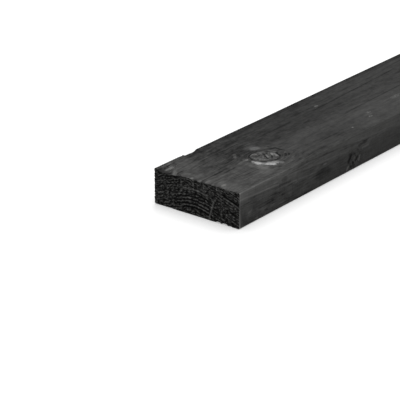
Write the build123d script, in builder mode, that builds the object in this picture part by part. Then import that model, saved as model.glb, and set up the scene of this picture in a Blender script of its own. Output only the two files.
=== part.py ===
from build123d import *
import os
from math import atan2, cos, sin

# A length of sawn softwood beam, stained black, with the small damage it took at the saw and in the yard.
#
# The beam is one solid, in millimetres. It lies on its wide face: X runs along the length, Y across the
# width and Z up, with the origin at the middle of the face that it lies on. The first end, at -X, has a
# torn chip in its upper edge, a knock on the arris beside it and a drying check. The other end is plain.

# The stock as it left the saw: its section, its eased long arrises and the broken edges of its ends
beam_length = 2400.0
beam_width = 125.0
beam_thickness = 45.0
arris_radius = 1.5
end_break = 0.6

# The chip torn out of the first end's upper edge. Its steep wall is near the long edge at +Y, and its floor
# follows a growth ring, climbing slowly across the width and running out along the grain.
chip_setback = 3.0
chip_wall_width = 7.0
chip_floor_width = 35.0
chip_depth = 4.6
chip_run = 28.0

# The knock on the upper arris at +Y: a bruise that takes the corner off over a short length
knock_setback = 66.0
knock_length = 26.0
knock_depth = 2.7

# The drying check: a crack that opened in the first end, from the lower face up towards the bark side
check_setback = 80.5
check_mouth = 1.2
check_height = 26.0
check_lean = 7.5
check_run = 40.0

# How far every cutter reaches past the surface that it cuts
overrun = 5.0

# Where the setbacks start: the first end, and the long edge at +Y
first_end = -beam_length / 2
long_edge = beam_width / 2


with BuildPart() as beam:
    # The sawn length, with its long arrises eased and its ends cut square
    with BuildSketch(Plane.YZ.offset(first_end)):
        with Locations((0, beam_thickness / 2)):
            RectangleRounded(beam_width, beam_thickness, arris_radius)
    extrude(amount=beam_length)
    sawn_ends = beam.faces().filter_by(Axis.X)
    chamfer(sawn_ends.edges(), end_break)

    # The torn chip: a three-cornered cut that climbs from its full depth at the end to the upper face
    chip_slope = atan2(chip_depth, chip_run)
    chip_bed = Plane(
        origin=(first_end, long_edge - chip_setback - chip_wall_width, beam_thickness - chip_depth),
        x_dir=(0, -1, 0),
        z_dir=(-cos(chip_slope), 0, -sin(chip_slope)),
    )
    chip_reach = chip_depth + overrun
    with BuildSketch(chip_bed):
        with BuildLine():
            Polyline(
                (0, 0),
                (chip_floor_width * chip_reach / chip_depth, chip_reach),
                (-chip_wall_width * chip_reach / chip_depth, chip_reach),
                close=True,
            )
        make_face()
    extrude(amount=chip_run + overrun, both=True, mode=Mode.SUBTRACT)

    # The knock: a round cutter laid across the arris, square to its length
    knock_radius = (knock_length**2 / 4 + knock_depth**2) / (2 * knock_depth)
    knock_bed = Plane(
        origin=(first_end + knock_setback, long_edge, beam_thickness),
        x_dir=(1, 0, 0),
        z_dir=(0, 1, -1),
    )
    with BuildSketch(knock_bed):
        with Locations((0, knock_depth - knock_radius)):
            Circle(knock_radius)
    extrude(amount=knock_depth + overrun, both=True, mode=Mode.SUBTRACT)

    # The drying check: a thin three-cornered opening in the end that closes to a point inside the timber
    check_foot = long_edge - check_setback
    with BuildSketch(Plane.YZ.offset(first_end)) as check_opening:
        with BuildLine():
            Polyline(
                (check_foot - check_mouth / 2, 0),
                (check_foot + check_mouth / 2, 0),
                (check_foot - check_lean, check_height),
                close=True,
            )
        make_face()
    check_root = Vertex(first_end + check_run, check_foot, 0)
    loft(sections=[check_opening.sketch.face(), check_root], mode=Mode.SUBTRACT)

beam.part.label = "beam"

os.makedirs("parts", exist_ok=True)
export_step(beam.part, "parts/beam.step")
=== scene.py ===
"""A length of sawn softwood beam, stained black, lying on a pale floor.

Lengths are in millimetres in the timber's own terms: along from the first end, across from the long edge
that is farther from the camera, and up from the floor. They become metres where the mesh is written.
"""

import math

import bmesh
import bpy
import numpy as np
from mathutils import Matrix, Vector, noise


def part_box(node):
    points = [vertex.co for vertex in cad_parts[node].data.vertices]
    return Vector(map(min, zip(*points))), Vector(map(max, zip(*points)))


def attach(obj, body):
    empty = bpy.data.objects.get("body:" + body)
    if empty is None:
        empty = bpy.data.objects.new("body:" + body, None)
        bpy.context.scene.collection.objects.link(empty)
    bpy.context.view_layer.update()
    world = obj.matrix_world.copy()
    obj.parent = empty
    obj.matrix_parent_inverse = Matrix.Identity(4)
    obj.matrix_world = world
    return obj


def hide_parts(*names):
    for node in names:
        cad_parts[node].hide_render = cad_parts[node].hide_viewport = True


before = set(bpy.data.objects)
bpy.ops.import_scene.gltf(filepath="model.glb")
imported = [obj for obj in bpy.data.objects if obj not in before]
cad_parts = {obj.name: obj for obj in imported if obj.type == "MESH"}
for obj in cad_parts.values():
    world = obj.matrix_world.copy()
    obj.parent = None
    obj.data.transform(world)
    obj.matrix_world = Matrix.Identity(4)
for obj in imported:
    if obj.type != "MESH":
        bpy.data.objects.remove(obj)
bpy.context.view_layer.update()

MM = 0.001
low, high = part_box("beam")
LENGTH, WIDTH, THICKNESS = ((high - low) / MM)[:]

# The camera, in the pixels of a 400 pixel frame
FRAME_PIXELS = 400.0
FOCAL_PIXELS = 1982.04
SENSOR_WIDTH = 36.0
CAMERA_AZIMUTH = math.radians(-51.871)
CAMERA_ELEVATION = math.radians(23.095)
CORNER_DISTANCE = 2274.54
CORNER_PIXEL = (239.299, 229.701)

# Light: how bright the white surroundings are for diffuse light, and the floor's own tone and lift
FILL_LIGHT = 0.4
FLOOR_TONE = 0.8
FLOOR_LIFT = 0.35

# The floor's half width, and the gap that keeps it clear of the beam's lower face, in metres
FLOOR_REACH = 20.0
FLOOR_GAP = 0.0002

# Lamps: (name, place as seen from what they aim at, size, power), in metres and watts
LAMPS = (
    ("overhead", (0.3, 0.0, 2.6), 2.4, 48.0),
    ("behind", (1.6952, 1.3026, 1.4768), 0.7, 11.0),
)

# What the lamps aim at: a place on the upper face, by the large knot
AIM_ALONG = 90.0
AIM_ACROSS = 92.5

# Arrises, and the cells of the mesh. The first end, as far as FINE_END along, has cells half as wide.
ARRIS_RADIUS = 1.5
ARRIS_SEGMENTS = 3
END_BREAK = 0.3
CELL = 1.5
FINE_END = 2.0

# The stretch at the first end that carries the marks
MARKED_LENGTH = 450.0

# Rows along the length: (where a stretch ends, how far apart its rows are)
ROW_STRETCHES = (
    (10.0, 0.8),
    (51.0, 1.8),
    (56.0, 0.6),
    (84.0, 1.5),
    (146.0, 1.7),
    (MARKED_LENGTH, 3.6),
    (LENGTH - 20.0, 16.0),
    (LENGTH, 2.5),
)

# Panels of the map for baked colour: (axis that a face points along, which way, then the panel's low
# corner, width and height). The marked stretch takes its own share of each long panel.
MAP_PANELS = (
    (2, 1.0, 0.0, 0.64, 1.0, 0.35),
    (1, 1.0, 0.0, 0.46, 1.0, 0.17),
    (1, -1.0, 0.0, 0.36, 1.0, 0.09),
    (2, -1.0, 0.0, 0.26, 1.0, 0.09),
    (0, -1.0, 0.0, 0.0, 0.66, 0.25),
    (0, 1.0, 0.68, 0.0, 0.32, 0.25),
)
MARKED_SHARE = 0.5

# Growth rings: arches over a heart that lies below the section
HEART_ACROSS = 59.0
HEART_DEPTH = 50.0
ARCH_RISE = 0.36
ARCH_ROUND = 16.6
RINGS_PER_MM = 0.174
RINGS_PER_MM2 = 0.00129
RING_OFFSET = 0.86

# Knots: branches that grow out from the heart: (along, and the across, up and radius where they come out)
KNOTS = (
    (107.4, 79.8, 45.0, 16.7),
    (236.0, 125.0, 10.5, 11.0),
    (705.0, 31.0, 45.0, 9.0),
    (1160.0, 0.0, 24.0, 8.0),
    (1625.0, 88.0, 45.0, 10.0),
    (2090.0, 125.0, 28.0, 8.0),
)
KNOT_PULL = 0.85
KNOT_LEAN = 0.12

# The swelling round the large knot
SWELL_ALONG = 115.0
SWELL_ACROSS = 86.0
SWELL_CREST = 18.0
SWELL_FOOT = 36.0
SWELL_HEIGHT = 1.0

# Damage at the first end, placed as in the solid. The knock starts with a steep step.
CHIP_SETBACK = 3.0
CHIP_WALL = 7.0
CHIP_FLOOR = 35.0
CHIP_DEPTH = 4.6
CHIP_RUN = 28.0
KNOCK_SETBACK = 66.0
KNOCK_LENGTH = 26.0
KNOCK_DEPTH = 2.7
KNOCK_START = 52.2
KNOCK_STEEP = 61.0
CHECK_SETBACK = 80.5
CHECK_MOUTH = 1.2
CHECK_HEIGHT = 26.0
CHECK_LEAN = 7.5
CHECK_DEPTH = 1.2

# Bites out of the first end's upper and lower edges, and worn places of the upper one, which get no painted
# shade: (across, half width, depth)
UPPER_BITES = (
    (59.8, 2.6, 1.5),
    (71.3, 3.2, 1.5),
    (81.4, 2.6, 1.4),
    (88.7, 2.4, 1.2),
    (95.9, 2.4, 1.5),
    (119.6, 1.1, 1.7),
    (122.8, 1.0, 1.5),
)
UPPER_WORN = ((65.5, 3.4, 1.3), (107.5, 5.2, 2.0))
LOWER_BITES = ((94.5, 4.5, 1.7), (103.5, 5.0, 2.0), (112.0, 3.0, 0.6), (22.0, 6.0, 0.4))

# Random nicks between the bites, and how far along and up from the end's edges the wear reaches
UPPER_NICKS = 0.7
LOWER_NICKS = 0.3
WEAR_RUN = 1.8
WEAR_HEIGHT = 8.0

# Raised grain: how far the late wood and the fibres stand out on the long faces and on the ends
LATE_RISE = 0.10
FIBRE_RISE = 0.12
END_LATE_RISE = 0.35
END_FUR = 0.55

# The groove round a knot's core, with its width as a share of the core's radius
GROOVE_DEPTH = 0.35
GROOVE_SHARE = 0.07

# The torn chip's streaks, and the share of the thickness below which the end face stays as sawn
STREAK_DEPTH = 0.9
STILL_SHARE = 0.6

# The sharp stretch of the arris beside the chip, which fades out, and the splinter where the knock begins
CRISP_SHARE = 0.8
CRISP_FADE = 44.0
CRISP_END = 52.0
SPLINTER_HEIGHT = 0.6
SPLINTER_LENGTH = 0.9
SPLINTER_WIDTH = 2.2

# The saw's teeth on the first end's far edge: their middle height and spread, and how far they reach
TEETH_HEIGHT = 0.6
TEETH_SPREAD = 1.3
TEETH_RUN = 1.2
TEETH_WIDTH = 2.0

# How far to each side the end face follows the check's lean, and the check's own half width
LEAN_REACH = 13.0
CHECK_HALF = 0.5


class Shade:
    """A number or colour in a material: arithmetic on it adds Math nodes to the material's tree."""

    def __init__(self, tree, socket=None):
        self.tree = tree
        self.socket = socket

    def node(self, kind, settings=None, output=0, **inputs):
        """Adds a node of any kind. Settings are set first, then each named socket's value or link."""
        made = self.tree.nodes.new(kind)
        for name, value in (settings or {}).items():
            setattr(made, name, value)
        for name, value in inputs.items():
            key = int(name[1:]) if name[0] == "_" else name.replace("_", " ")
            if isinstance(value, Shade):
                self.tree.links.new(value.socket, made.inputs[key])
            else:
                made.inputs[key].default_value = value
        return Shade(self.tree, made.outputs[output]) if made.outputs else None

    def math(self, operation, first, second=0.0):
        return self.node("ShaderNodeMath", {"operation": operation}, _0=first, _1=second)

    def __add__(self, other):
        return self.math("ADD", self, other)

    def __radd__(self, other):
        return self.math("ADD", other, self)

    def __sub__(self, other):
        return self.math("SUBTRACT", self, other)

    def __rsub__(self, other):
        return self.math("SUBTRACT", other, self)

    def __mul__(self, other):
        return self.math("MULTIPLY", self, other)

    def __rmul__(self, other):
        return self.math("MULTIPLY", other, self)

    def __truediv__(self, other):
        return self.math("DIVIDE", self, other)

    def __rtruediv__(self, other):
        return self.math("DIVIDE", other, self)

    def vector(self, operation, *parts):
        """A Vector Math node on this and the other parts. Length and dot product give a number."""
        inputs = {f"_{index}": part for index, part in enumerate((self, *parts))}
        output = 1 if operation in ("LENGTH", "DOT_PRODUCT") else 0
        return self.node("ShaderNodeVectorMath", {"operation": operation}, output, **inputs)

    def step(self, start, end, top=1.0):
        """0 before start, top past end and smooth between them, in whichever order they stand."""
        settings = {"interpolation_type": "SMOOTHSTEP", "clamp": False}
        return self.node(
            "ShaderNodeMapRange", settings, Value=self, From_Min=start, From_Max=end, To_Max=top
        )

    def within(self, start, end, soft, top=1.0):
        """The top from start to end, fading to 0 over a soft stretch inside each of them."""
        return self.step(start, start + soft, top) * self.step(end, end - soft)

    def toward(self, other, share):
        return self + (other - self) * share


# The wood's figure is written once, for arrays of vertices and for materials alike


def sine(value):
    return value.math("SINE", value) if isinstance(value, Shade) else np.sin(value)


def root(value):
    return value.math("SQRT", value) if isinstance(value, Shade) else np.sqrt(value)


def larger(value, least):
    return value.math("MAXIMUM", value, least) if isinstance(value, Shade) else np.maximum(value, least)


def smaller(value, most):
    return value.math("MINIMUM", value, most) if isinstance(value, Shade) else np.minimum(value, most)


def knot_reach(knot, along, across, up):
    """A place's distance from a knot's middle in radii, squared; also how far aside of it, and its way."""
    start, exit_across, exit_up, radius = knot
    out_across = exit_across - HEART_ACROSS
    out_up = exit_up + HEART_DEPTH
    far = math.hypot(out_across, out_up)
    way = (out_across / far, out_up / far)
    off_across = across - HEART_ACROSS
    off_up = up + HEART_DEPTH
    out = off_across * way[0] + off_up * way[1]
    aside = off_across * way[1] - off_up * way[0]
    lengthways = along - start - KNOT_LEAN * aside
    spread = larger(out, 1.0) * (radius / far)
    return (lengthways * lengthways + aside * aside) / (spread * spread), aside, way


def grain_flow(along, across, up):
    """Where a place's fibres would lie if no knot had pushed them aside, and the nearest knot's reach."""
    bent_across, bent_up, nearest = across, up, None
    for knot in KNOTS:
        reach, aside, way = knot_reach(knot, along, across, up)
        pull = aside * KNOT_PULL / larger(reach, 1.0)
        bent_across = bent_across - pull * way[1]
        bent_up = bent_up + pull * way[0]
        nearest = reach if nearest is None else smaller(nearest, reach)
    return bent_across, bent_up, nearest


def ring_depth(along, across, up):
    """How high a place's growth ring stands where it passes over the heart."""
    drift = 0.9 * sine(along * 0.0205 + 0.6) + 0.6 * sine(along * 0.0463 + across * 0.021)
    drift = drift + 1.6 * sine(along * 0.0031 + 1.0) + 0.0012 * along - 1.9
    sideways = across - HEART_ACROSS + 3.0 * sine(along * 0.0052)
    arch = root(sideways * sideways + ARCH_ROUND**2) - ARCH_ROUND
    return up + ARCH_RISE * arch + drift


def ring_count(depth):
    """How many growth rings lie below a ring of this depth. Whole numbers are the dark late wood."""
    return RINGS_PER_MM * depth + RINGS_PER_MM2 * depth * depth - RING_OFFSET


# The mesh


def smooth(value, start, end):
    """The array form of Shade.step."""
    share = np.clip((value - start) / (end - start), 0.0, 1.0)
    return share * share * (3.0 - 2.0 * share)


def ruffle(places, sizes, seed):
    """Smooth noise, about -0.7 to 0.7, with lumps of these sizes along, across and up."""
    scaled = places / np.array(sizes) + seed
    return np.array([noise.noise(Vector(place)) for place in scaled])


def cut_rows():
    """Places along the length where the mesh has a row of vertices."""
    places = [END_BREAK]
    for end, step in ROW_STRETCHES:
        count = max(1, round((end - places[-1]) / step))
        places += list(np.linspace(places[-1], end, count + 1)[1:])
    places[-1] = LENGTH - END_BREAK
    return np.array(places)


def even_places(start, end, step):
    """Places that divide a stretch evenly, without its ends."""
    return np.linspace(start, end, round((end - start) / step) + 1)[1:-1]


def slice_mesh(bm, axis, places, part=None):
    """Cuts the mesh, or a part of it, by planes square to an axis."""
    normal = Vector((0.0, 0.0, 0.0))
    normal[axis] = 1.0
    for place in places:
        geom = part() if part else bm.verts[:] + bm.edges[:] + bm.faces[:]
        bmesh.ops.bisect_plane(bm, geom=geom, dist=1e-4, plane_co=normal * place, plane_no=normal)


def sawn_length():
    """The beam as it left the saw: a box with eased arrises, cut into rows and columns of small cells."""
    bm = bmesh.new()
    bmesh.ops.create_cube(bm, size=1.0)
    bmesh.ops.scale(bm, vec=(LENGTH, WIDTH, THICKNESS), verts=bm.verts)
    bmesh.ops.translate(bm, vec=(LENGTH / 2, WIDTH / 2, THICKNESS / 2), verts=bm.verts)

    def edges_along(least, most):
        return [e for e in bm.edges if least <= abs(e.verts[0].co.x - e.verts[1].co.x) <= most]

    eased = {"segments": ARRIS_SEGMENTS, "profile": 0.5, "affect": "EDGES", "material": -1}
    bmesh.ops.bevel(bm, geom=edges_along(LENGTH / 2, LENGTH), offset=ARRIS_RADIUS, **eased)
    broken = {"segments": 1, "profile": 0.5, "affect": "EDGES", "material": -1}
    bmesh.ops.bevel(bm, geom=edges_along(0.0, END_BREAK), offset=END_BREAK, **broken)

    columns = even_places(ARRIS_RADIUS, WIDTH - ARRIS_RADIUS, CELL)
    layers = even_places(ARRIS_RADIUS, THICKNESS - ARRIS_RADIUS, CELL)
    slice_mesh(bm, 1, columns)
    slice_mesh(bm, 2, layers)

    rows = cut_rows()
    bmesh.ops.subdivide_edges(bm, edges=edges_along(LENGTH / 2, LENGTH), cuts=len(rows) - 2)
    even = np.linspace(rows[0], rows[-1], len(rows))
    for vertex in bm.verts:
        if rows[0] < vertex.co.x < rows[-1]:
            vertex.co.x = np.interp(vertex.co.x, even, rows)

    def first_end():
        faces = [f for f in bm.faces if f.calc_center_bounds().x < FINE_END]
        edges = dict.fromkeys(e for f in faces for e in f.edges)
        verts = dict.fromkeys(v for f in faces for v in f.verts)
        return [*verts, *edges, *faces]

    half = CELL / 2
    mouth = np.array((-CHECK_MOUTH / 2, 0.0, CHECK_MOUTH / 2))
    slice_mesh(bm, 1, np.append(columns - half, columns[-1] + half), first_end)
    slice_mesh(bm, 1, CHECK_SETBACK + mouth, first_end)
    slice_mesh(bm, 2, np.append(layers - half, layers[-1] + half), first_end)
    bm.normal_update()
    return bm


def chip_depth(along, across):
    """How deep the torn chip is below the upper face."""
    wall = (across - CHIP_SETBACK) / CHIP_WALL
    floor = 1.0 - (across - CHIP_SETBACK - CHIP_WALL) / CHIP_FLOOR
    profile = np.clip(np.minimum(wall, floor), 0.0, 1.0)
    return np.clip(CHIP_DEPTH * (profile - along / CHIP_RUN), 0.0, None)


def knock_depth(along):
    """How far the knock takes the arris back towards the middle of the section."""
    radius = (KNOCK_LENGTH**2 / 4 + KNOCK_DEPTH**2) / (2 * KNOCK_DEPTH)
    off = np.clip(np.abs(along - KNOCK_SETBACK), 0.0, radius)
    return np.clip(KNOCK_DEPTH - radius + np.sqrt(radius**2 - off**2), 0.0, None)


def bites(across, table):
    """How far an end's edge is broken away, at each place across it."""
    depth = np.zeros_like(across)
    for middle, half_width, deepest in table:
        rise = smooth(np.abs(across - middle), half_width * 0.4, half_width)
        depth = np.maximum(depth, deepest * (1.0 - rise))
    return depth


def nicks(across, size, seed):
    """Random nicks in an end's edge, up to about 0.7 deep, at each place across it."""
    places = across[:, None] * (0.0, 1.0, 0.0)
    return np.clip(ruffle(places, (1.0, size, 1.0), seed), 0.0, 1.0)


def swell(value, middle, reach):
    """1 where the value is at the middle, and next to nothing from twice the reach away."""
    return np.exp(-(((value - middle) / reach) ** 2))


def weather(places, normals):
    """Moves the vertices of the clean sawn length to the worn surface, and says where the wood is torn."""
    along, across, up = places.T
    worn = places.copy()
    bent_across, bent_up, knot = grain_flow(along, across, up)
    late = 0.5 + 0.5 * np.cos(2 * np.pi * ring_count(ring_depth(along, bent_across, bent_up)))
    first_face = np.clip(-normals[:, 0], 0.0, 1.0) ** 4
    end_faces = np.abs(normals[:, 0]) ** 4
    long_faces = 1.0 - end_faces

    # Raised grain: the late wood stands a little proud, and the end grain is furred by the saw
    hair = ruffle(places, (60.0, 2.0, 2.0), 4.0)
    fur = ruffle(places, (2.0, 2.2, 1.6), 9.0)
    relief = long_faces * (LATE_RISE * (late - 0.5) + FIBRE_RISE * hair)
    relief += end_faces * (END_LATE_RISE * (late - 0.5) + END_FUR * fur)
    worn += normals * relief[:, None]

    # The swelling round the large knot, on the upper face
    upper = smooth(up, THICKNESS - ARRIS_RADIUS, THICKNESS)
    from_swell = np.hypot(along - SWELL_ALONG, across - SWELL_ACROSS)
    worn[:, 2] += upper * SWELL_HEIGHT * (1.0 - smooth(from_swell, SWELL_CREST, SWELL_FOOT))
    worn[:, 2] -= upper * GROOVE_DEPTH * swell(np.sqrt(knot), 1.0, GROOVE_SHARE)

    # The torn chip and the bites lower the upper edge, and the end face below it closes up
    middle = THICKNESS * STILL_SHARE
    squeeze = np.clip((up - middle) / (THICKNESS - middle), 0.0, 1.0)
    drop = chip_depth(along, across)
    in_chip = smooth(drop, 0.05, 0.8)
    streaky = ruffle(places * (1.0, 1.0, 0.0), (14.0, 1.7, 1.0), 21.0)
    drop = np.clip(drop + in_chip * STREAK_DEPTH * streaky, 0.0, None)
    upper_bite = bites(across, UPPER_BITES) + UPPER_NICKS * nicks(across, 2.6, 2.0)
    lower_bite = bites(across, LOWER_BITES) + LOWER_NICKS * nicks(across, 3.0, 7.0)
    at_end = np.exp(-along / WEAR_RUN)
    upper_loss = upper_bite + bites(across, UPPER_WORN)
    worn[:, 2] -= (drop + upper_loss * at_end * (1.0 - in_chip)) * squeeze
    worn[:, 2] += lower_bite * at_end * np.clip(1.0 - up / WEAR_HEIGHT, 0.0, 1.0)

    # The near stretch of the arris beside the chip stays sharp, up to a splinter where the knock begins
    off_face = THICKNESS - up
    rim = ARRIS_RADIUS + 0.01
    in_arris = (across < rim) & (off_face < rim)
    crisp = in_arris * CRISP_SHARE * (1.0 - smooth(along, CRISP_FADE, CRISP_END))
    worn[:, 1] -= crisp * across
    worn[:, 2] += crisp * off_face
    inset = (across + off_face) / math.sqrt(2)
    knock = knock_depth(np.maximum(along, KNOCK_STEEP)) * smooth(along, KNOCK_START, KNOCK_START + 1.2)
    push = np.clip(knock - inset, 0.0, None) / math.sqrt(2)
    splinter = SPLINTER_HEIGHT * swell(along, KNOCK_START, SPLINTER_LENGTH)
    splinter *= np.clip(1.0 - inset / SPLINTER_WIDTH, 0.0, 1.0)
    worn[:, 1] += push - splinter
    worn[:, 2] -= push - splinter

    # The saw left teeth on the first end's far edge
    teeth = TEETH_HEIGHT + TEETH_SPREAD * ruffle(places * (0.0, 0.0, 1.0), (1.0, 1.0, 2.3), 15.0)
    teeth = np.clip(teeth, 0.0, None) * np.exp(-along / TEETH_RUN)
    worn[:, 1] -= teeth * (1.0 - smooth(across, 0.0, TEETH_WIDTH))

    # The drying check opens in the end face
    leaning = CHECK_LEAN * np.clip(up / CHECK_HEIGHT, 0.0, 1.2)
    worn[:, 1] += first_face * leaning * swell(across, CHECK_SETBACK, LEAN_REACH)
    split = first_face * np.clip(1.0 - np.abs(across - CHECK_SETBACK) / CHECK_HALF, 0.0, 1.0)
    split *= 1.0 - smooth(up, CHECK_HEIGHT * 0.75, CHECK_HEIGHT)
    worn[:, 0] += split * CHECK_DEPTH

    # The deeper bites of the upper edge, which are darkened with painted shade
    at_edge = smooth(up, THICKNESS - 2.5, THICKNESS - 0.5) * np.exp(-along / 2.2)
    shaded_bites = smooth(upper_bite, 0.4, 1.1) * at_edge
    return worn, in_chip * upper, np.clip(shaded_bites * (1.0 - in_chip), 0.0, 1.0)


def to_frame(places):
    """Timber terms to the part's frame, in metres."""
    along, across, up = places.T
    return np.stack([low.x + along * MM, high.y - across * MM, low.z + np.maximum(up, 0.0) * MM], 1)


def lay_out_map(mesh, places, facing):
    """Gives each side its panel of the map for baked colour, from the places before the wear."""
    vertex = np.empty(len(mesh.loops), np.int32)
    mesh.loops.foreach_get("vertex_index", vertex)
    corners = np.empty(len(mesh.polygons), np.int32)
    mesh.polygons.foreach_get("loop_total", corners)
    along, across, up = places[vertex].T
    lengthways = np.interp(along, (0.0, MARKED_LENGTH, LENGTH), (0.0, MARKED_SHARE, 1.0))
    shares = (lengthways, across / WIDTH, up / THICKNESS)
    facing = np.repeat(facing, corners, axis=0)
    nearest = np.abs(facing).argmax(1)
    spread = np.zeros((len(vertex), 2))
    for axis, way, *corner, width, height in MAP_PANELS:
        chosen = (nearest == axis) & (facing[:, axis] * way > 0.0)
        first, second = (shares[other] for other in range(3) if other != axis)
        panel = np.stack([first * width, second * height], 1) + corner
        spread[chosen] = panel[chosen]
    layer = mesh.uv_layers.new(name="OFBake")
    layer.uv.foreach_set("vector", spread.astype(np.float32).ravel())


def make_beam(material):
    """The worn beam, which stands for the solid."""
    bm = sawn_length()
    mesh = bpy.data.meshes.new("beam_timber")
    bm.to_mesh(mesh)
    bm.free()
    count = len(mesh.vertices)
    places = np.empty(count * 3)
    normals = np.empty(count * 3, np.float32)
    mesh.vertices.foreach_get("co", places)
    mesh.vertex_normals.foreach_get("vector", normals)
    places = places.reshape(-1, 3)
    normals = normals.reshape(-1, 3).astype(float)
    facing = np.empty(len(mesh.polygons) * 3, np.float32)
    mesh.polygons.foreach_get("normal", facing)
    worn, torn, shaded_bites = weather(places, normals)
    marks = {"end_grain": np.abs(normals[:, 0]) > 0.9, "torn": torn, "shaded_bites": shaded_bites}
    for name, amount in marks.items():
        mesh.attributes.new(name, "FLOAT", "POINT").data.foreach_set("value", amount.astype(np.float32))
    mesh.vertices.foreach_set("co", to_frame(worn).astype(np.float32).ravel())
    mesh.flip_normals()
    mesh.update()
    lay_out_map(mesh, places, facing.reshape(-1, 3))
    mesh.materials.append(material)
    mesh.shade_smooth()
    beam = bpy.data.objects.new("beam_timber", mesh)
    bpy.context.scene.collection.objects.link(beam)
    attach(beam, "root")
    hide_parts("beam")


# Materials


def new_tree(data):
    data.use_nodes = True
    data.node_tree.nodes.clear()
    return Shade(data.node_tree)


# Grain lines on the upper face: (along from and to, across from and to, half width, how much darker)
UPPER_LINES = (
    (8.0, 132.0, 25.0, 23.5, 1.6, 0.60),
    (-5.0, 66.0, 68.6, 66.8, 1.9, 0.85),
    (33.0, 66.0, 74.0, 73.4, 1.7, 1.35),
    (8.0, 42.0, 77.0, 77.5, 1.8, -0.50),
    (60.0, 86.0, 57.5, 56.5, 1.8, 0.40),
    (24.0, 56.0, 119.0, 118.2, 1.3, 0.70),
    (150.0, 228.0, 36.8, 37.0, 2.7, 0.80),
    (268.0, 470.0, 36.0, 28.5, 1.8, 0.75),
    (286.0, 470.0, 72.5, 69.0, 2.0, 0.75),
    (192.0, 232.0, 103.0, 104.0, 1.8, 0.55),
    (206.0, 262.0, 109.0, 110.0, 1.6, 0.50),
    (158.0, 196.0, 118.0, 116.0, 1.8, 0.50),
    (20.0, 60.0, 44.0, 42.0, 1.4, 0.35),
    (35.0, 130.0, 28.0, 28.0, 1.6, -0.60),
    (60.0, 130.0, 118.0, 112.0, 1.4, -0.45),
)

# Lighter and darker areas of the upper face: (along, across, reach along and across, strength)
UPPER_AREAS = (
    (50.0, 100.0, 80.0, 40.0, 0.65),
    (0.0, 60.0, 28.0, 120.0, 0.75),
    (30.0, 18.0, 24.0, 22.0, 0.75),
    (9.0, 42.0, 6.0, 5.0, 0.80),
    (1.0, 53.8, 4.5, 3.0, 3.00),
    (1.0, 65.8, 4.5, 3.2, 2.00),
    (0.5, 48.3, 4.5, 2.6, 1.30),
    (20.0, 6.0, 5.0, 3.0, 0.80),
    (6.3, 74.5, 6.0, 2.4, 1.80),
    (1.0, 85.2, 3.5, 2.0, 1.20),
    (7.7, 96.0, 5.5, 2.6, 3.20),
    (3.0, 101.0, 5.0, 3.0, 0.70),
    (8.0, 86.0, 4.0, 2.5, -0.40),
    (62.0, 9.0, 18.0, 7.0, -0.50),
    (88.0, 40.0, 26.0, 14.0, -0.35),
    (72.0, 56.0, 16.0, 6.0, -0.30),
    (80.5, 98.5, 10.0, 8.5, 1.80),
    (133.0, 89.0, 5.0, 7.0, 0.40),
    (80.0, 88.0, 9.0, 14.0, 0.90),
    (73.0, 109.0, 13.0, 9.0, 0.95),
    (68.0, 81.0, 14.0, 10.0, 0.35),
    (95.0, 113.0, 4.0, 3.0, -0.80),
    (128.0, 63.0, 9.0, 7.0, 0.50),
    (121.0, 103.0, 14.0, 5.0, 0.40),
    (112.0, 12.0, 8.0, 5.0, -0.35),
    (228.0, 103.0, 50.0, 20.0, -0.30),
    (170.0, 117.0, 24.0, 6.0, -0.45),
    (200.0, 74.0, 46.0, 10.0, 0.25),
    (330.0, 100.0, 110.0, 40.0, 0.25),
    (150.0, 90.0, 14.0, 5.0, 0.35),
    (167.0, 75.0, 8.0, 3.0, 0.35),
    (220.0, 64.0, 4.0, 3.0, 0.50),
    (255.0, 76.0, 6.0, 5.0, 0.35),
    (262.0, 60.0, 7.0, 3.0, 0.35),
    (285.0, 117.0, 16.0, 5.0, 0.35),
    (236.0, 53.0, 10.0, 3.0, -0.35),
    (241.0, 80.0, 4.0, 6.0, -0.30),
)

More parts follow.
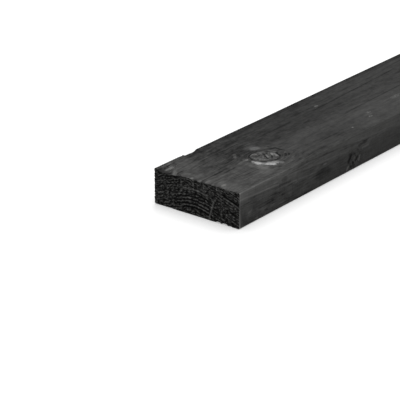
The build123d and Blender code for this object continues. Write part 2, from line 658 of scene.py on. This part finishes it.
# Short strokes on the upper face, in the torn chip, in the large knot and round it: (along and across of
# one end and of the other, half width, how much darker)
UPPER_STROKES = (
    (9.0, 10.6, 17.8, 11.6, 2.0, -3.2),
    (13.6, 11.4, 17.0, 11.8, 1.4, -1.6),
    (12.0, 13.6, 16.5, 14.2, 1.3, -1.6),
    (2.0, 28.0, 7.6, 23.6, 3.6, -1.7),
    (1.6, 26.6, 5.0, 25.6, 1.5, -1.4),
    (3.0, 30.0, 8.0, 27.0, 1.3, -1.2),
    (8.0, 4.6, 24.0, 4.2, 1.4, -1.0),
    (14.0, 7.4, 27.0, 8.6, 1.2, 0.9),
    (3.5, 31.0, 11.5, 31.5, 1.9, 1.5),
    (9.0, 7.8, 14.5, 8.6, 1.4, 1.0),
    (9.5, 16.0, 14.0, 16.0, 1.3, 0.8),
    (83.5, 55.0, 91.0, 48.5, 2.6, -1.8),
    (98.5, 39.8, 100.0, 38.6, 1.8, 0.7),
    (78.0, 62.5, 81.0, 60.5, 1.6, 0.8),
    (91.0, 56.0, 93.5, 53.0, 2.0, 0.6),
    (104.0, 73.4, 107.0, 77.2, 1.5, 2.0),
    (113.7, 74.7, 108.0, 81.4, 1.6, 2.4),
    (108.0, 81.4, 104.2, 89.5, 1.7, 2.4),
    (116.0, 77.2, 118.0, 75.8, 1.8, 2.2),
    (120.6, 72.6, 123.3, 76.0, 1.6, 2.0),
    (115.0, 86.0, 107.1, 93.2, 1.5, 2.2),
    (124.6, 86.6, 126.6, 85.2, 1.8, 2.0),
    (97.0, 78.9, 97.9, 87.2, 1.7, -2.0),
    (111.8, 68.4, 114.0, 71.0, 1.7, -1.8),
    (102.5, 66.5, 104.9, 69.6, 2.4, -1.4),
    (111.6, 80.6, 108.4, 85.3, 1.7, -3.4),
    (120.6, 80.8, 117.2, 85.8, 1.9, -5.0),
    (122.8, 83.6, 118.8, 91.3, 2.4, -4.0),
    (108.6, 92.4, 111.0, 95.4, 1.7, -2.4),
    (116.5, 65.0, 121.5, 71.3, 2.0, -1.6),
    (124.6, 74.5, 127.6, 83.0, 2.0, -1.6),
    (131.5, 72.7, 138.1, 74.0, 2.5, 1.7),
    (138.1, 74.0, 137.6, 81.4, 2.8, 1.8),
    (134.9, 61.5, 137.0, 64.1, 2.0, 1.2),
    (137.4, 83.7, 138.7, 86.8, 2.2, 1.2),
    (124.6, 99.7, 130.2, 95.3, 2.2, 1.6),
    (129.5, 101.0, 133.5, 98.0, 2.0, 1.4),
)

# Pale specks where the stain has come off the upper face: (along, across, reach along and across,
# strength)
UPPER_SPECKS = (
    (287.5, 29.3, 5.0, 2.6, 1.0),
    (280.0, 33.0, 8.0, 3.0, 0.45),
    (311.0, 93.5, 6.0, 3.2, 0.75),
    (301.0, 103.5, 5.5, 2.8, 0.75),
    (306.0, 98.5, 8.0, 4.0, 0.45),
    (254.0, 108.0, 3.2, 1.8, 1.0),
    (384.0, 88.0, 18.0, 6.0, 0.55),
    (86.5, 69.2, 4.0, 3.6, 0.9),
)

# Where the large knot's skirt is rubbed smooth, and is pale with a painted highlight: (along and across of
# one end and of the other, half width, strength)
RUBBED_AND_HIGHLIGHT = (
    (85.0, 66.5, 86.0, 72.0, 2.6, 0.10),
    (87.2, 79.5, 86.5, 84.5, 3.6, 0.36),
    (86.5, 84.5, 86.8, 89.0, 4.6, 0.58),
    (86.8, 89.5, 90.8, 97.0, 3.5, 0.34),
    (90.8, 97.0, 96.0, 103.5, 3.9, 0.62),
    (96.0, 97.8, 102.0, 102.6, 5.2, 0.43),
    (102.0, 103.0, 105.6, 107.6, 4.2, 0.20),
)

# The faint sheen beyond the large knot: (along, across, reach along and across, strength)
SHEEN_CORE = (121.7, 55.2, 10.0, 8.6, 1.0)
SHEEN_SKIRT = (121.5, 50.5, 12.0, 10.5, 0.25)
SHEEN = 0.29

# Grain lines on the narrow face near the camera: (along from and to, up from and to, half width, how much
# darker)
SIDE_LINES = (
    (-14.0, 98.0, 37.2, 29.9, 1.5, -1.40),
    (18.0, 104.0, 32.4, 27.2, 2.0, 0.70),
    (58.0, 165.0, 28.0, 21.5, 1.5, -0.60),
    (100.0, 225.0, 36.0, 28.0, 1.5, -0.50),
    (190.0, 276.0, 34.5, 31.0, 1.6, 0.70),
    (215.0, 310.0, 37.0, 32.0, 1.4, -0.45),
    (158.0, 238.0, 41.0, 34.5, 1.5, 0.70),
    (108.0, 196.0, 42.5, 37.5, 1.5, 0.70),
    (112.0, 186.0, 33.0, 27.5, 1.4, 0.60),
    (128.0, 152.0, 37.8, 36.2, 1.7, 0.90),
    (26.0, 94.0, 43.5, 41.8, 1.2, -0.60),
    (12.0, 84.0, 40.5, 38.0, 1.2, 0.40),
)

# Lighter and darker spots on that face: (along, up, reach along and up, strength)
SIDE_MARKS = (
    (231.0, 14.0, 12.0, 11.0, -0.40),
    (88.0, 34.0, 8.0, 4.0, -1.00),
    (98.0, 29.0, 5.0, 3.0, -0.60),
    (168.0, 16.0, 20.0, 8.0, -0.70),
    (171.0, 27.0, 5.0, 2.2, 1.20),
    (163.0, 27.5, 5.0, 2.2, -0.80),
    (44.0, 9.0, 4.0, 6.0, 0.50),
    (19.0, 14.0, 5.0, 5.0, 0.45),
    (128.0, 11.0, 5.0, 5.0, 0.35),
)

# A painted highlight at the lower corner of the first end, in the same terms
LOWER_CORNER_HIGHLIGHT = (0.0, 0.5, 3.0, 4.0, 5.0)

# Short strokes on the same narrow face: (along and up of one end and of the other, half width, how much
# darker)
SIDE_STROKES = (
    (226.8, 19.6, 221.6, 13.2, 2.8, 1.9),
    (224.0, 21.8, 235.0, 20.6, 2.8, 0.9),
    (231.2, 9.2, 232.2, 8.4, 2.6, 2.2),
    (226.8, 5.8, 228.4, 5.2, 2.4, 1.6),
    (231.6, 4.8, 233.8, 4.2, 2.4, 1.6),
    (237.4, 10.8, 241.0, 14.4, 2.3, 1.9),
    (244.4, 9.2, 246.5, 14.6, 1.9, -2.4),
    (218.2, 3.4, 221.6, 7.0, 2.1, -1.8),
    (231.9, 12.8, 234.6, 15.0, 1.9, -1.1),
    (244.0, 28.4, 261.0, 29.8, 2.5, 1.2),
    (251.9, 22.8, 264.5, 23.4, 2.1, -1.0),
    (17.5, 15.0, 23.0, 16.4, 1.7, -0.8),
    (33.0, 14.0, 39.5, 12.2, 1.6, -0.7),
    (49.9, 7.8, 54.5, 7.2, 1.6, 1.0),
    (48.6, 1.4, 50.4, 1.1, 1.7, -2.0),
    (31.5, 3.4, 35.5, 3.0, 1.7, -1.2),
    (62.0, 16.2, 65.5, 15.8, 1.5, 0.8),
    (83.0, 16.0, 87.0, 15.4, 1.5, 0.8),
    (78.0, 30.8, 92.4, 29.4, 1.7, 1.2),
    (101.0, 26.6, 112.0, 25.4, 1.3, -0.9),
    (103.0, 23.6, 114.0, 22.8, 1.3, -0.9),
)

# Rings that stand out on the first end: (depth over the heart, across from and to, half width, strength).
# Those with a strength above 0 are dark, and the others pale.
END_LINES = (
    (10.9, 40.0, 92.0, 1.7, 0.97),
    (14.9, 28.0, 92.0, 1.6, 0.93),
    (19.6, 26.0, 100.0, 1.6, 0.92),
    (24.0, 30.0, 88.0, 1.4, 0.80),
    (28.2, 52.0, 96.0, 2.2, 0.70),
    (32.9, 104.0, 126.0, 1.6, 0.80),
    (38.6, 96.0, 126.0, 1.4, 0.70),
    (47.1, 96.0, 129.0, 2.3, 0.98),
    (12.9, 36.0, 84.0, 1.1, -1.5),
    (17.2, 40.0, 84.0, 1.0, -0.9),
    (21.8, 34.0, 62.0, 1.0, -1.4),
    (32.8, 36.0, 84.0, 1.5, -1.8),
    (44.7, 100.0, 129.0, 1.4, -2.2),
    (40.4, 104.0, 120.0, 1.6, -1.0),
)

# Pale dots and fibres on the first end: (across, up, reach across and up, strength)
END_DOTS = (
    (57.5, 39.1, 1.5, 1.3, 4.0),
    (57.5, 33.0, 1.5, 1.3, 3.0),
    (49.2, 36.6, 1.6, 1.2, 2.4),
    (46.4, 32.5, 1.6, 1.2, 2.4),
    (51.0, 21.0, 3.2, 0.9, 2.4),
    (52.0, 16.0, 2.4, 1.4, 1.6),
    (19.5, 18.6, 1.6, 1.2, 2.0),
    (95.2, 28.7, 1.6, 1.5, 2.2),
    (98.4, 34.3, 2.0, 1.5, 1.6),
    (113.5, 23.0, 2.8, 1.6, 2.2),
    (106.7, 13.2, 2.0, 1.6, 1.8),
    (74.5, 10.0, 2.4, 1.2, 2.0),
    (91.8, 42.5, 1.3, 4.0, 3.0),
    (73.0, 38.0, 0.8, 5.5, 1.6),
    (75.4, 38.5, 0.7, 5.0, 1.3),
    (77.6, 38.0, 0.7, 4.5, 1.2),
)

# Where the speckle of the first end is duller: (across, up, reach across and up, strength)
END_DULL = (26.0, 37.0, 34.0, 12.0, 0.7)

# A painted shadow for the gap under the torn chip on the first end: (across from and to, up, rise, half
# width)
END_GAP_SHADOW = (18.0, 48.0, 39.6, 0.212, 1.3)

# How far the lines fade in and out
LONG_FADE = 12.0
RING_FADE = 8.0
GAP_FADE = 4.0


def stained_timber():
    """Softwood with a black stain: its rings, fibres, knots and wear all follow the timber's own terms."""
    material = bpy.data.materials.new("stained_timber")
    start = new_tree(material)
    place = start.node("ShaderNodeTexCoord", output=3)
    x, y, z = (start.node("ShaderNodeSeparateXYZ", output=i, Vector=place) for i in range(3))
    along = (x - low.x) / MM
    across = (high.y - y) / MM
    up = (z - low.z) / MM
    names = ("end_grain", "torn", "shaded_bites")
    ends, torn, shaded_bites = (
        start.node("ShaderNodeAttribute", {"attribute_name": name}, output=2) for name in names
    )
    upper = larger(up.step(THICKNESS - 2.0, THICKNESS - 1.0), torn)
    near_side = across.step(WIDTH - ARRIS_RADIUS, WIDTH - 0.5)
    first_end = ends * along.step(20.0, 10.0)

    def lumps(x_part, y_part, z_part, detail=2.0, seed=0.0):
        """Noise, from about -0.5 to 0.5, at a place given in lumps."""
        vector = start.node("ShaderNodeCombineXYZ", X=x_part + seed, Y=y_part, Z=z_part)
        return start.node("ShaderNodeTexNoise", Vector=vector, Scale=1.0, Detail=detail) - 0.5

    def line(value, half_width):
        """1 on a line where the value is 0, and 0 from half_width away."""
        return value.math("ABSOLUTE", value).step(half_width, half_width * 0.2)

    def spot(face, first, second, first_reach, second_reach, strength):
        """The strength at the middle of an oval on a face, and 0 outside it."""
        scale = (1.0 / first_reach, 1.0 / second_reach, 0.0)
        shift = (-first / first_reach, -second / second_reach, 0.0)
        off = face.vector("MULTIPLY_ADD", scale, shift)
        return off.vector("DOT_PRODUCT", off).step(1.0, 0.15, strength)

    def stroke(face, from_first, from_second, to_first, to_second, half_width, strength):
        """The strength on a straight stroke over a face, and 0 from half_width away."""
        run = (to_first - from_first, to_second - from_second, 0.0)
        square = run[0] ** 2 + run[1] ** 2
        off = face.vector("SUBTRACT", (from_first, from_second, 0.0))
        share = off.vector("DOT_PRODUCT", (run[0] / square, run[1] / square, 0.0))
        share = start.node("ShaderNodeClamp", Value=share)
        reached = start.node("ShaderNodeVectorMath", {"operation": "SCALE"}, _0=run, Scale=share)
        off = off.vector("SUBTRACT", reached)
        return off.vector("DOT_PRODUCT", off).step(half_width**2, 0.0, strength)

    def summed(mark, face, table):
        """The marks of a table, spots or strokes, as the sum of their strengths."""
        total = 0.0
        for row in table:
            total = mark(face, *row) + total
        return total

    def strongest(mark, face, table):
        """The marks of a table, as the largest of their strengths."""
        most = mark(face, *table[0])
        for row in table[1:]:
            most = larger(most, mark(face, *row))
        return most

    def long_lines(face, table):
        """Grain lines along a face, as the sum of their strengths. They fade at both ends."""
        total = 0.0
        for from_along, to_along, from_second, to_second, half_width, strength in table:
            slope = (to_second - from_second) / (to_along - from_along)
            off = face.vector("DOT_PRODUCT", (-slope, 1.0, 0.0)) - (from_second - slope * from_along)
            shown = along.within(from_along, to_along, LONG_FADE, strength)
            total = line(off, half_width) * shown + total
        return total

    # Fibres flow round the knots. The marks are stronger near the first end, and the rest is plainer.
    bent_across, bent_up, knot = grain_flow(along, across, up)
    depth = ring_depth(along, bent_across, bent_up)
    rings = ring_count(depth)
    streaks = lumps(along / 75.0, bent_across / 2.4, bent_up / 2.4, 3.0, seed=3.0)
    fine = lumps(along / 16.0, bent_across / 0.7, bent_up / 0.7, 2.0, seed=11.0)
    mottle = lumps(along / 20.0, bent_across / 9.0, bent_up / 9.0, 2.0, seed=7.0)
    cloud = lumps(along / 150.0, across / 40.0, up / 40.0, 1.0, seed=1.0)
    late = (0.5 + 0.5 * sine(rings * (2 * math.pi) + math.pi / 2)).step(0.55, 1.0)
    fading = cloud.step(-0.05, 0.12)
    patches = lumps(along / 6.5, bent_across / 3.8, bent_up / 3.8, 2.0, seed=13.0)
    near = along.step(190.0, 90.0)
    beyond = along.step(380.0, 560.0)
    long_tone = 1.5 + (0.5 - 0.05 * near) * streaks + 0.6 * fine + 0.7 * cloud
    long_tone = long_tone - (0.25 + 0.65 * beyond) * late * fading + (1.4 + 0.9 * near) * mottle
    long_tone = long_tone + (0.6 + (0.7 + 1.5 * near - 0.8 * beyond) * upper) * patches
    dark_hairs = lumps(along / 48.0, bent_across / 1.7, bent_up / 1.7, 1.0, seed=51.0).step(0.09, 0.19)
    pale_hairs = lumps(along / 30.0, bent_across / 1.5, bent_up / 1.5, 1.0, seed=57.0).step(0.12, 0.22)
    long_tone = long_tone - (0.35 + 0.8 * near) * dark_hairs + (0.3 + 1.0 * near) * pale_hairs

    # Lines, soft light areas and specks of the upper face, and a painted highlight along its near arris
    upper_face = start.node("ShaderNodeCombineXYZ", X=along, Y=across)
    side_face = start.node("ShaderNodeCombineXYZ", X=along, Y=up)
    end_face = start.node("ShaderNodeCombineXYZ", X=across, Y=up)
    wander = start.node("ShaderNodeCombineXYZ", Y=mottle)
    face_tone = summed(spot, upper_face, UPPER_AREAS)
    face_tone = face_tone - long_lines(upper_face.vector("SUBTRACT", wander), UPPER_LINES)
    far_half = across.step(76.0, 48.0) * along.step(45.0, 95.0)
    far_edge = across.step(11.0, 3.0) * along.step(40.0, 60.0)
    near_arris_highlight = across.step(WIDTH - 4.0, WIDTH - 1.0) * along.step(160.0, 90.0)
    face_tone = face_tone - far_half * (0.30 + 0.33 * along.step(380.0, 250.0))
    # Painted highlight: the near arris of the upper face is lighter
    face_tone = face_tone - 0.60 * far_edge + 0.40 * near_arris_highlight
    flaking = lumps(along / 2.6, across / 1.7, up / 1.7, 1.0, seed=47.0)
    specks = strongest(spot, upper_face, UPPER_SPECKS) * (1.0 + 3.5 * flaking)
    specks = specks.step(0.2, 1.3) * upper
    long_tone = long_tone + face_tone * upper

    # The narrow face near the camera is lighter above and at its end with painted light, with slanting
    # lines and spots
    saw = lumps(along / 3.2, up / 22.0, 0.0 * across, 1.0, seed=61.0)
    specked = lumps(along / 4.5, up / 1.5, 0.0 * across, 2.0, seed=67.0)
    # Painted light: the face gets lighter towards its top
    side_tone = 0.20 + 0.95 * up.step(17.0, 38.0) + (0.5 + 0.4 * near) * saw + 1.3 * specked
    side_tone = side_tone - long_lines(side_face.vector("SUBTRACT", wander), SIDE_LINES)
    # Painted light on the upper part near the first end, and painted shade farther along
    painted_light_above = up.step(27.0, 42.0) * along.step(140.0, 80.0)
    side_tone = side_tone + 0.85 * painted_light_above - 0.18 * along.step(90.0, 130.0)
    ragged_side = side_face.vector("ADD", start.node("ShaderNodeCombineXYZ", Y=5.0 * mottle))
    side_tone = side_tone + summed(spot, ragged_side, SIDE_MARKS)
    side_tone = side_tone - summed(stroke, side_face, SIDE_STROKES)
    # Painted highlight along the arris at the first end, brighter low down, and a fainter band beside it
    end_arris_highlight = (1.8 + 3.0 * up.step(30.0, 5.0)) * along.step(2.4, 0.8)
    side_tone = side_tone + end_arris_highlight + 0.3 * along.step(9.0, 5.0)
    # Painted highlight at the lower corner of the first end
    side_tone = side_tone + spot(side_face, *LOWER_CORNER_HIGHLIGHT)
    # Painted highlight along the upper arris near the first end
    side_tone = side_tone + (0.45 + 1.8 * fine) * upper * along.step(125.0, 60.0)
    long_tone = long_tone + side_tone * near_side

    # Knots: a thin broken outline round a hard core with light flecks. The small ones have cracks.
    reach = root(knot)
    core = reach.step(1.04, 0.97)
    warp = lumps(along / 7.0, across / 7.0, up / 7.0, 2.0, seed=23.0)
    outline = line(reach - 1.0 + 0.12 * warp, 0.09) * warp.step(-0.32, -0.05)
    outline = outline * (0.45 + 0.55 * fine.step(-0.12, 0.08))
    halo = reach.step(1.9, 1.05) * (1.0 - core)
    ripples = sine(reach * 30.0 + 9.0 * warp).step(0.1, 0.9)
    ripples = ripples * reach.step(1.04, 1.14) * reach.step(1.85, 1.35)
    slant_way = 0.813 * along + 0.582 * across + 0.582 * up
    slants = sine(slant_way * 0.84 - 2.7 + 7.0 * warp).step(0.80, 0.96) * fine.step(-0.2, 0.02)
    cracks = slants * core * along.step(135.0, 160.0)
    flecks = lumps(along / 3.2, across / 2.6, up / 2.6, 2.0, seed=31.0).step(0.0, 0.18) * core
    knot_tone = 1.8 - 0.5 * beyond + (2.6 - 2.0 * beyond) * flecks * upper + 1.4 * fine + 2.0 * patches
    long_tone = long_tone.toward(knot_tone, core * (0.3 + 0.7 * upper)) - 0.10 * halo
    long_tone = long_tone - 0.6 * ripples * warp.step(-0.12, 0.12) * upper
    long_tone = long_tone * (1.0 - 0.92 * larger(outline, cracks) * (0.12 + 0.88 * upper))
    long_tone = long_tone - summed(stroke, upper_face, UPPER_STROKES) * (1.0 + 1.8 * fine) * upper

    # End grain: speckled along the rings, with the rings themselves and a painted shadow for the gap under
    # the torn chip
    grit = lumps(across / 4.2, rings * 2.3, along / 4.0, 1.0, seed=5.0)
    pores = grit.step(-0.16, 0.20)
    teeth = lumps(across / 1.5, up / 9.0, 0.0 * along, 1.0, seed=17.0)
    glints = lumps(across / 2.4, up / 2.0, along / 4.0, 0.0, seed=29.0).step(0.10, 0.26)
    glints = glints * (1.0 - spot(end_face, *END_DULL))
    end_tone = 0.25 + 3.6 * pores * pores + 1.6 * teeth + 2.8 * glints
    end_tone = end_tone * (1.0 - (0.95 - 0.35 * first_end) * late)
    for at_depth, from_across, to_across, half_width, strength in END_LINES:
        shown = across.within(from_across, to_across, RING_FADE)
        shown = shown * line(depth - at_depth + 0.7 * grit, half_width) * first_end
        end_tone = end_tone * (1.0 - strength * shown) if strength > 0.0 else end_tone - strength * shown
    from_across, to_across, from_up, rise, half_width = END_GAP_SHADOW
    gap_shadow = across.within(from_across, to_across, GAP_FADE) * first_end
    gap_shadow = gap_shadow * line(up - from_up - rise * (across - from_across), half_width)
    end_tone = end_tone * (1.0 - 0.97 * gap_shadow) + summed(spot, end_face, END_DOTS) * first_end
    tone = larger(long_tone, 0.12).toward(larger(end_tone, 0.12), ends)
    check = line(across - CHECK_SETBACK - up * (CHECK_LEAN / CHECK_HEIGHT) + 0.6 * teeth, 1.6)
    check = check * up.step(CHECK_HEIGHT + 3.0, CHECK_HEIGHT - 4.0) * first_end

    # Gloss: dull all over, but the swelling round the large knot is rubbed smooth
    rubbed_and_highlight = strongest(stroke, upper_face, RUBBED_AND_HIGHLIGHT) * (1.0 + 0.8 * warp) * upper
    rubbed_and_highlight = larger(rubbed_and_highlight, 0.0)
    sheen = spot(upper_face, *SHEEN_CORE)
    sheen = (sheen * sheen + spot(upper_face, *SHEEN_SKIRT)) * upper
    rough = 0.84 - 0.2 * streaks
    gloss = smaller(rubbed_and_highlight + SHEEN * sheen, 1.0)

    # Torn wood is paler, because the stain didn't reach in, and the check is a pale line. Bites and lips
    # get painted shade.
    fluff = lumps(along / 16.0, across / 2.2, up / 2.2, 2.0, seed=41.0)
    raw = torn * fluff.step(0.0, 0.25) * along.step(4.0, 9.0)
    # Painted shade under the lip of the torn chip
    lip_shade = torn * along.step(9.0, 4.0) * across.step(24.0, 17.0)
    # Painted shade along the recessed edge of the torn chip
    chip_edge_shade = line(along - 0.9 - 0.09 * (across - 9.7), 1.3)
    chip_edge_shade = chip_edge_shade * across.step(6.0, 10.0) * across.step(28.0, 23.0) * torn
    tone = tone * (1.0 - 0.85 * larger(shaded_bites, chip_edge_shade)) * (1.0 - 0.5 * lip_shade)
    # The rubbed skirt of the large knot is also lighter with a painted highlight
    tone = tone + 2.0 * raw * (1.0 - chip_edge_shade) + 4.0 * check + 3.5 * specks + 2.0 * rubbed_and_highlight

    # The stain, from black to its palest grey, on a dull sealed surface and on open grain
    stain = start.node(
        "ShaderNodeMix",
        {"data_type": "RGBA"},
        output=2,
        Factor=larger(tone, 0.1) * 0.1,
        _6=(0.0, 0.0, 0.0, 1.0),
        _7=(0.25, 0.249, 0.243, 1.0),
    )

    height = 0.05 * fine + 0.08 * streaks - 0.25 * larger(outline, cracks) + ends * 0.5 * grit
    bump = start.node("ShaderNodeBump", Strength=0.8, Distance=MM, Height=height)
    sealed = start.node(
        "ShaderNodeBsdfPrincipled",
        Base_Color=stain,
        Roughness=rough,
        Normal=bump,
        Specular_IOR_Level=0.09,
        Coat_Weight=gloss,
        Coat_Roughness=0.3,
        Coat_IOR=1.5,
    )
    open_grain = start.node(
        "ShaderNodeBsdfPrincipled", Base_Color=stain, Roughness=0.9, Normal=bump, Specular_IOR_Level=0.03
    )
    bare = larger(larger(ends, torn * 0.7), larger(outline, cracks))
    surface = start.node("ShaderNodeMixShader", Fac=bare, _1=sealed, _2=open_grain)
    start.node("ShaderNodeOutputMaterial", Surface=surface)
    return material


def seen_directly(start):
    """1 for the rays that show the background: straight to the camera, mirrored or through glass."""
    rays = start.node("ShaderNodeLightPath", output="Is Camera Ray")
    for name in ("Is Glossy Ray", "Is Transmission Ray"):
        rays = rays + start.node("ShaderNodeLightPath", output=name)
    return smaller(rays, 1.0)


def make_floor():
    """The pale floor, which is lifted to white for the camera and keeps its shadow."""
    bm = bmesh.new()
    bmesh.ops.create_grid(bm, x_segments=1, y_segments=1, size=FLOOR_REACH)
    bmesh.ops.translate(bm, vec=(0.0, 0.0, -FLOOR_GAP), verts=bm.verts)
    mesh = bpy.data.meshes.new("floor")
    bm.to_mesh(mesh)
    bm.free()
    material = bpy.data.materials.new("pale_floor")
    start = new_tree(material)
    shader = start.node(
        "ShaderNodeBsdfPrincipled",
        Base_Color=(FLOOR_TONE, FLOOR_TONE, FLOOR_TONE, 1.0),
        Roughness=1.0,
        Specular_IOR_Level=0.0,
        Emission_Color=(1.0, 1.0, 1.0, 1.0),
        Emission_Strength=seen_directly(start) * FLOOR_LIFT,
    )
    start.node("ShaderNodeOutputMaterial", Surface=shader)
    mesh.materials.append(material)
    floor = bpy.data.objects.new("floor", mesh)
    bpy.context.scene.collection.objects.link(floor)


def make_world():
    """White surroundings, dimmer for diffuse light than they look."""
    world = bpy.data.worlds.new("studio")
    bpy.context.scene.world = world
    start = new_tree(world)
    strength = FILL_LIGHT + seen_directly(start) * (1.0 - FILL_LIGHT)
    background = start.node("ShaderNodeBackground", Color=(1.0, 1.0, 1.0, 1.0), Strength=strength)
    start.node("ShaderNodeOutputWorld", Surface=background)


def softbox(name, place, target, size, power):
    """A square lamp that looks at a target, both in metres."""
    lamp = bpy.data.lights.new(name, "AREA")
    lamp.size = size
    lamp.energy = power
    box = bpy.data.objects.new(name, lamp)
    box.location = place
    box.rotation_mode = "QUATERNION"
    box.rotation_quaternion = (target - place).to_track_quat("-Z", "Y")
    bpy.context.scene.collection.objects.link(box)


def make_camera():
    """The camera, placed from the near lower corner of the first end and that corner's pixel."""
    level = math.cos(CAMERA_ELEVATION)
    sideways = math.sin(CAMERA_AZIMUTH)
    lengthways = math.cos(CAMERA_AZIMUTH)
    back = Vector((sideways * level, -lengthways * level, math.sin(CAMERA_ELEVATION)))
    right = Vector((lengthways, sideways, 0.0))
    rise = back.cross(right)
    scale = CORNER_DISTANCE * MM / FOCAL_PIXELS
    off_right = (CORNER_PIXEL[0] - FRAME_PIXELS / 2) * scale
    off_rise = (FRAME_PIXELS / 2 - CORNER_PIXEL[1]) * scale
    camera = bpy.data.cameras.new("camera")
    camera.sensor_width = SENSOR_WIDTH
    camera.lens = FOCAL_PIXELS / FRAME_PIXELS * SENSOR_WIDTH
    stand = bpy.data.objects.new("camera", camera)
    stand.location = low + back * (CORNER_DISTANCE * MM) - right * off_right - rise * off_rise
    stand.rotation_mode = "QUATERNION"
    stand.rotation_quaternion = (-back).to_track_quat("-Z", "Y")
    bpy.context.scene.collection.objects.link(stand)
    bpy.context.scene.camera = stand


bpy.context.scene.view_settings.view_transform = "Standard"
make_camera()
make_world()
make_floor()
make_beam(stained_timber())
aim = Vector((low.x + AIM_ALONG * MM, high.y - AIM_ACROSS * MM, high.z))
for lamp_name, lamp_off, lamp_size, lamp_power in LAMPS:
    softbox(lamp_name, aim + Vector(lamp_off), aim, lamp_size, lamp_power)
